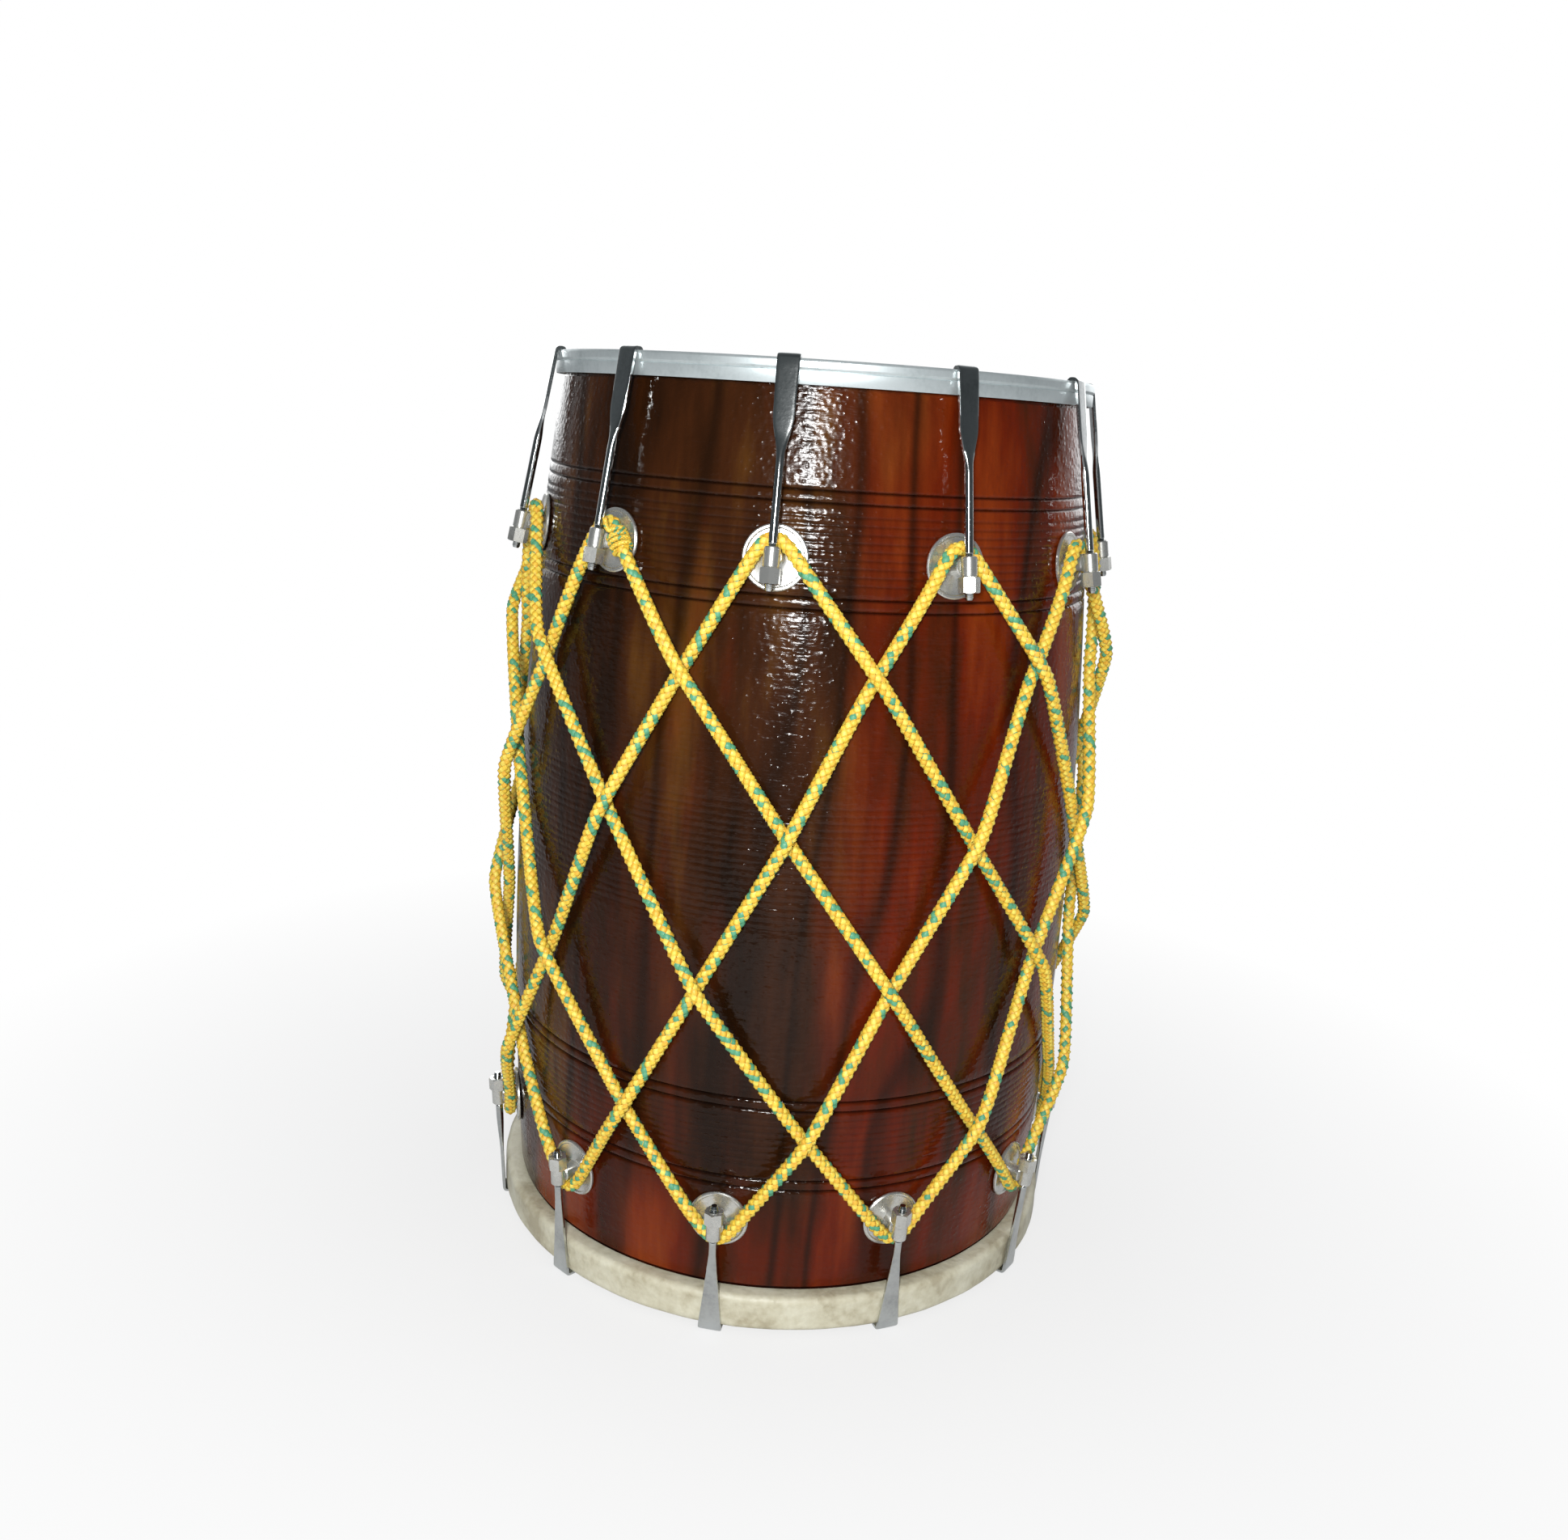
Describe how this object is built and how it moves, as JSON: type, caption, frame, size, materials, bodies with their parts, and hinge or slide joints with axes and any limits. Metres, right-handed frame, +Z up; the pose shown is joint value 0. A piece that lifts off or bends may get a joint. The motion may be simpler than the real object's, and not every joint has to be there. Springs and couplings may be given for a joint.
{
  "type": "dhol",
  "caption": "Rope-laced barrel drum standing on its bass end, with a steel-hooped treble head, a hide-hooped bass head and threaded hooks that tighten both.",
  "frame": {"origin": "on the axis of the shell, in the plane of the bass hooks' feet that the drum stands on", "axes": "+Z up the axis from the bass head to the treble head; -Y towards the front of the picture"},
  "size_m": [0.4339, 0.432, 0.6024],
  "materials": {
    "wood": "gloss lacquer",
    "core_wood": "plain",
    "head_skin": "smooth",
    "hide": "matt",
    "steel": "polished plate",
    "rope": "braided"
  },
  "bodies": {
    "drum": {"shell": "wood", "treble_skin": "head_skin", "treble_ring": "steel", "treble_hoop": "steel", "bass_core": "core_wood", "bass_skin": "hide", "treble_spools": "steel", "bass_spools": "steel", "rope": "rope"},
    "treble_nut_01": {"treble_nut_01": "steel"},
    "treble_hook_01": {"treble_hook_01": "steel"},
    "treble_nut_02": {"treble_nut_02": "steel"},
    "treble_hook_02": {"treble_hook_02": "steel"},
    "treble_nut_03": {"treble_nut_03": "steel"},
    "treble_hook_03": {"treble_hook_03": "steel"},
    "treble_nut_04": {"treble_nut_04": "steel"},
    "treble_hook_04": {"treble_hook_04": "steel"},
    "treble_nut_05": {"treble_nut_05": "steel"},
    "treble_hook_05": {"treble_hook_05": "steel"},
    "treble_nut_06": {"treble_nut_06": "steel"},
    "treble_hook_06": {"treble_hook_06": "steel"},
    "treble_nut_07": {"treble_nut_07": "steel"},
    "treble_hook_07": {"treble_hook_07": "steel"},
    "treble_nut_08": {"treble_nut_08": "steel"},
    "treble_hook_08": {"treble_hook_08": "steel"},
    "treble_nut_09": {"treble_nut_09": "steel"},
    "treble_hook_09": {"treble_hook_09": "steel"},
    "treble_nut_10": {"treble_nut_10": "steel"},
    "treble_hook_10": {"treble_hook_10": "steel"},
    "treble_nut_11": {"treble_nut_11": "steel"},
    "treble_hook_11": {"treble_hook_11": "steel"},
    "bass_nut_01": {"bass_nut_01": "steel"},
    "bass_hook_01": {"bass_hook_01": "steel"},
    "bass_nut_02": {"bass_nut_02": "steel"},
    "bass_hook_02": {"bass_hook_02": "steel"},
    "bass_nut_03": {"bass_nut_03": "steel"},
    "bass_hook_03": {"bass_hook_03": "steel"},
    "bass_nut_04": {"bass_nut_04": "steel"},
    "bass_hook_04": {"bass_hook_04": "steel"},
    "bass_nut_05": {"bass_nut_05": "steel"},
    "bass_hook_05": {"bass_hook_05": "steel"},
    "bass_nut_06": {"bass_nut_06": "steel"},
    "bass_hook_06": {"bass_hook_06": "steel"},
    "bass_nut_07": {"bass_nut_07": "steel"},
    "bass_hook_07": {"bass_hook_07": "steel"},
    "bass_nut_08": {"bass_nut_08": "steel"},
    "bass_hook_08": {"bass_hook_08": "steel"},
    "bass_nut_09": {"bass_nut_09": "steel"},
    "bass_hook_09": {"bass_hook_09": "steel"},
    "bass_nut_10": {"bass_nut_10": "steel"},
    "bass_hook_10": {"bass_hook_10": "steel"},
    "bass_nut_11": {"bass_nut_11": "steel"},
    "bass_hook_11": {"bass_hook_11": "steel"}
  },
  "joints": [
    {"name": "treble_nut_01_turn", "type": "hinge", "parent": "drum", "child": "treble_nut_01", "pos_m": [-0.00527, -0.2011, 0.48732], "axis": [-0.0048, -0.1846, -0.9828], "range_deg": [0, 2160]},
    {"name": "treble_hook_01_slide", "type": "slide", "parent": "drum", "child": "treble_hook_01", "axis": [0.0048, 0.1846, 0.9828], "range_m": [0, 0.006]},
    {"name": "treble_nut_02_turn", "type": "hinge", "parent": "drum", "child": "treble_nut_02", "pos_m": [0.10429, -0.17202, 0.48732], "axis": [0.0957, -0.1579, -0.9828], "range_deg": [0, 2160]},
    {"name": "treble_hook_02_slide", "type": "slide", "parent": "drum", "child": "treble_hook_02", "axis": [-0.0957, 0.1579, 0.9828], "range_m": [0, 0.006]},
    {"name": "treble_nut_03_turn", "type": "hinge", "parent": "drum", "child": "treble_nut_03", "pos_m": [0.18074, -0.08833, 0.48732], "axis": [0.1659, -0.0811, -0.9828], "range_deg": [0, 2160]},
    {"name": "treble_hook_03_slide", "type": "slide", "parent": "drum", "child": "treble_hook_03", "axis": [-0.1659, 0.0811, 0.9828], "range_m": [0, 0.006]},
    {"name": "treble_nut_04_turn", "type": "hinge", "parent": "drum", "child": "treble_nut_04", "pos_m": [0.1998, 0.02341, 0.48732], "axis": [0.1834, 0.0215, -0.9828], "range_deg": [0, 2160]},
    {"name": "treble_hook_04_slide", "type": "slide", "parent": "drum", "child": "treble_hook_04", "axis": [-0.1834, -0.0215, 0.9828], "range_m": [0, 0.006]},
    {"name": "treble_nut_05_turn", "type": "hinge", "parent": "drum", "child": "treble_nut_05", "pos_m": [0.15543, 0.12771, 0.48732], "axis": [0.1427, 0.1172, -0.9828], "range_deg": [0, 2160]},
    {"name": "treble_hook_05_slide", "type": "slide", "parent": "drum", "child": "treble_hook_05", "axis": [-0.1427, -0.1172, 0.9828], "range_m": [0, 0.006]},
    {"name": "treble_nut_06_turn", "type": "hinge", "parent": "drum", "child": "treble_nut_06", "pos_m": [0.06171, 0.19147, 0.48732], "axis": [0.0566, 0.1757, -0.9828], "range_deg": [0, 2160]},
    {"name": "treble_hook_06_slide", "type": "slide", "parent": "drum", "child": "treble_hook_06", "axis": [-0.0566, -0.1757, 0.9828], "range_m": [0, 0.006]},
    {"name": "treble_nut_07_turn", "type": "hinge", "parent": "drum", "child": "treble_nut_07", "pos_m": [-0.0516, 0.19444, 0.48732], "axis": [-0.0474, 0.1785, -0.9828], "range_deg": [0, 2160]},
    {"name": "treble_hook_07_slide", "type": "slide", "parent": "drum", "child": "treble_hook_07", "axis": [0.0474, -0.1785, 0.9828], "range_m": [0, 0.006]},
    {"name": "treble_nut_08_turn", "type": "hinge", "parent": "drum", "child": "treble_nut_08", "pos_m": [-0.14853, 0.13567, 0.48732], "axis": [-0.1363, 0.1245, -0.9828], "range_deg": [0, 2160]},
    {"name": "treble_hook_08_slide", "type": "slide", "parent": "drum", "child": "treble_hook_08", "axis": [0.1363, -0.1245, 0.9828], "range_m": [0, 0.006]},
    {"name": "treble_nut_09_turn", "type": "hinge", "parent": "drum", "child": "treble_nut_09", "pos_m": [-0.1983, 0.03383, 0.48732], "axis": [-0.182, 0.0311, -0.9828], "range_deg": [0, 2160]},
    {"name": "treble_hook_09_slide", "type": "slide", "parent": "drum", "child": "treble_hook_09", "axis": [0.182, -0.0311, 0.9828], "range_m": [0, 0.006]},
    {"name": "treble_nut_10_turn", "type": "hinge", "parent": "drum", "child": "treble_nut_10", "pos_m": [-0.18511, -0.07875, 0.48732], "axis": [-0.1699, -0.0723, -0.9828], "range_deg": [0, 2160]},
    {"name": "treble_hook_10_slide", "type": "slide", "parent": "drum", "child": "treble_hook_10", "axis": [0.1699, 0.0723, 0.9828], "range_m": [0, 0.006]},
    {"name": "treble_nut_11_turn", "type": "hinge", "parent": "drum", "child": "treble_nut_11", "pos_m": [-0.11315, -0.16633, 0.48732], "axis": [-0.1038, -0.1527, -0.9828], "range_deg": [0, 2160]},
    {"name": "treble_hook_11_slide", "type": "slide", "parent": "drum", "child": "treble_hook_11", "axis": [0.1038, 0.1527, 0.9828], "range_m": [0, 0.006]},
    {"name": "bass_nut_01_turn", "type": "hinge", "parent": "drum", "child": "bass_nut_01", "pos_m": [-0.01501, -0.20939, 0.08105], "axis": [-0.0046, -0.0649, 0.9979], "range_deg": [0, 2160]},
    {"name": "bass_hook_01_slide", "type": "slide", "parent": "drum", "child": "bass_hook_01", "axis": [0.0046, 0.0649, -0.9979], "range_m": [0, 0.006]},
    {"name": "bass_nut_02_turn", "type": "hinge", "parent": "drum", "child": "bass_nut_02", "pos_m": [0.10058, -0.18426, 0.08105], "axis": [0.0312, -0.0571, 0.9979], "range_deg": [0, 2160]},
    {"name": "bass_hook_02_slide", "type": "slide", "parent": "drum", "child": "bass_hook_02", "axis": [-0.0312, 0.0571, -0.9979], "range_m": [0, 0.006]},
    {"name": "bass_nut_03_turn", "type": "hinge", "parent": "drum", "child": "bass_nut_03", "pos_m": [0.18423, -0.10064, 0.08105], "axis": [0.0571, -0.0312, 0.9979], "range_deg": [0, 2160]},
    {"name": "bass_hook_03_slide", "type": "slide", "parent": "drum", "child": "bass_hook_03", "axis": [-0.0571, 0.0312, -0.9979], "range_m": [0, 0.006]},
    {"name": "bass_nut_04_turn", "type": "hinge", "parent": "drum", "child": "bass_nut_04", "pos_m": [0.20939, 0.01494, 0.08105], "axis": [0.0649, 0.0046, 0.9979], "range_deg": [0, 2160]},
    {"name": "bass_hook_04_slide", "type": "slide", "parent": "drum", "child": "bass_hook_04", "axis": [-0.0649, -0.0046, -0.9979], "range_m": [0, 0.006]},
    {"name": "bass_nut_05_turn", "type": "hinge", "parent": "drum", "child": "bass_nut_05", "pos_m": [0.16807, 0.12578, 0.08105], "axis": [0.0521, 0.039, 0.9979], "range_deg": [0, 2160]},
    {"name": "bass_hook_05_slide", "type": "slide", "parent": "drum", "child": "bass_hook_05", "axis": [-0.0521, -0.039, -0.9979], "range_m": [0, 0.006]},
    {"name": "bass_nut_06_turn", "type": "hinge", "parent": "drum", "child": "bass_nut_06", "pos_m": [0.07339, 0.19668, 0.08105], "axis": [0.0227, 0.0609, 0.9979], "range_deg": [0, 2160]},
    {"name": "bass_hook_06_slide", "type": "slide", "parent": "drum", "child": "bass_hook_06", "axis": [-0.0227, -0.0609, -0.9979], "range_m": [0, 0.006]},
    {"name": "bass_nut_07_turn", "type": "hinge", "parent": "drum", "child": "bass_nut_07", "pos_m": [-0.04459, 0.20513, 0.08105], "axis": [-0.0138, 0.0635, 0.9979], "range_deg": [0, 2160]},
    {"name": "bass_hook_07_slide", "type": "slide", "parent": "drum", "child": "bass_hook_07", "axis": [0.0138, -0.0635, -0.9979], "range_m": [0, 0.006]},
    {"name": "bass_nut_08_turn", "type": "hinge", "parent": "drum", "child": "bass_nut_08", "pos_m": [-0.14842, 0.14846, 0.08105], "axis": [-0.046, 0.046, 0.9979], "range_deg": [0, 2160]},
    {"name": "bass_hook_08_slide", "type": "slide", "parent": "drum", "child": "bass_hook_08", "axis": [0.046, -0.046, -0.9979], "range_m": [0, 0.006]},
    {"name": "bass_nut_09_turn", "type": "hinge", "parent": "drum", "child": "bass_nut_09", "pos_m": [-0.20512, 0.04466, 0.08105], "axis": [-0.0635, 0.0138, 0.9979], "range_deg": [0, 2160]},
    {"name": "bass_hook_09_slide", "type": "slide", "parent": "drum", "child": "bass_hook_09", "axis": [0.0635, -0.0138, -0.9979], "range_m": [0, 0.006]},
    {"name": "bass_nut_10_turn", "type": "hinge", "parent": "drum", "child": "bass_nut_10", "pos_m": [-0.1967, -0.07333, 0.08105], "axis": [-0.0609, -0.0227, 0.9979], "range_deg": [0, 2160]},
    {"name": "bass_hook_10_slide", "type": "slide", "parent": "drum", "child": "bass_hook_10", "axis": [0.0609, 0.0227, -0.9979], "range_m": [0, 0.006]},
    {"name": "bass_nut_11_turn", "type": "hinge", "parent": "drum", "child": "bass_nut_11", "pos_m": [-0.12583, -0.16803, 0.08105], "axis": [-0.039, -0.052, 0.9979], "range_deg": [0, 2160]},
    {"name": "bass_hook_11_slide", "type": "slide", "parent": "drum", "child": "bass_hook_11", "axis": [0.039, 0.052, -0.9979], "range_m": [0, 0.006]}
  ],
  "couplings": [
    {"joint": "treble_nut_01_turn", "follows": "treble_hook_01_slide", "rad_per_m": 6283.2},
    {"joint": "treble_nut_02_turn", "follows": "treble_hook_02_slide", "rad_per_m": 6283.2},
    {"joint": "treble_nut_03_turn", "follows": "treble_hook_03_slide", "rad_per_m": 6283.2},
    {"joint": "treble_nut_04_turn", "follows": "treble_hook_04_slide", "rad_per_m": 6283.2},
    {"joint": "treble_nut_05_turn", "follows": "treble_hook_05_slide", "rad_per_m": 6283.2},
    {"joint": "treble_nut_06_turn", "follows": "treble_hook_06_slide", "rad_per_m": 6283.2},
    {"joint": "treble_nut_07_turn", "follows": "treble_hook_07_slide", "rad_per_m": 6283.2},
    {"joint": "treble_nut_08_turn", "follows": "treble_hook_08_slide", "rad_per_m": 6283.2},
    {"joint": "treble_nut_09_turn", "follows": "treble_hook_09_slide", "rad_per_m": 6283.2},
    {"joint": "treble_nut_10_turn", "follows": "treble_hook_10_slide", "rad_per_m": 6283.2},
    {"joint": "treble_nut_11_turn", "follows": "treble_hook_11_slide", "rad_per_m": 6283.2},
    {"joint": "bass_nut_01_turn", "follows": "bass_hook_01_slide", "rad_per_m": 6283.2},
    {"joint": "bass_nut_02_turn", "follows": "bass_hook_02_slide", "rad_per_m": 6283.2},
    {"joint": "bass_nut_03_turn", "follows": "bass_hook_03_slide", "rad_per_m": 6283.2},
    {"joint": "bass_nut_04_turn", "follows": "bass_hook_04_slide", "rad_per_m": 6283.2},
    {"joint": "bass_nut_05_turn", "follows": "bass_hook_05_slide", "rad_per_m": 6283.2},
    {"joint": "bass_nut_06_turn", "follows": "bass_hook_06_slide", "rad_per_m": 6283.2},
    {"joint": "bass_nut_07_turn", "follows": "bass_hook_07_slide", "rad_per_m": 6283.2},
    {"joint": "bass_nut_08_turn", "follows": "bass_hook_08_slide", "rad_per_m": 6283.2},
    {"joint": "bass_nut_09_turn", "follows": "bass_hook_09_slide", "rad_per_m": 6283.2},
    {"joint": "bass_nut_10_turn", "follows": "bass_hook_10_slide", "rad_per_m": 6283.2},
    {"joint": "bass_nut_11_turn", "follows": "bass_hook_11_slide", "rad_per_m": 6283.2}
  ]
}
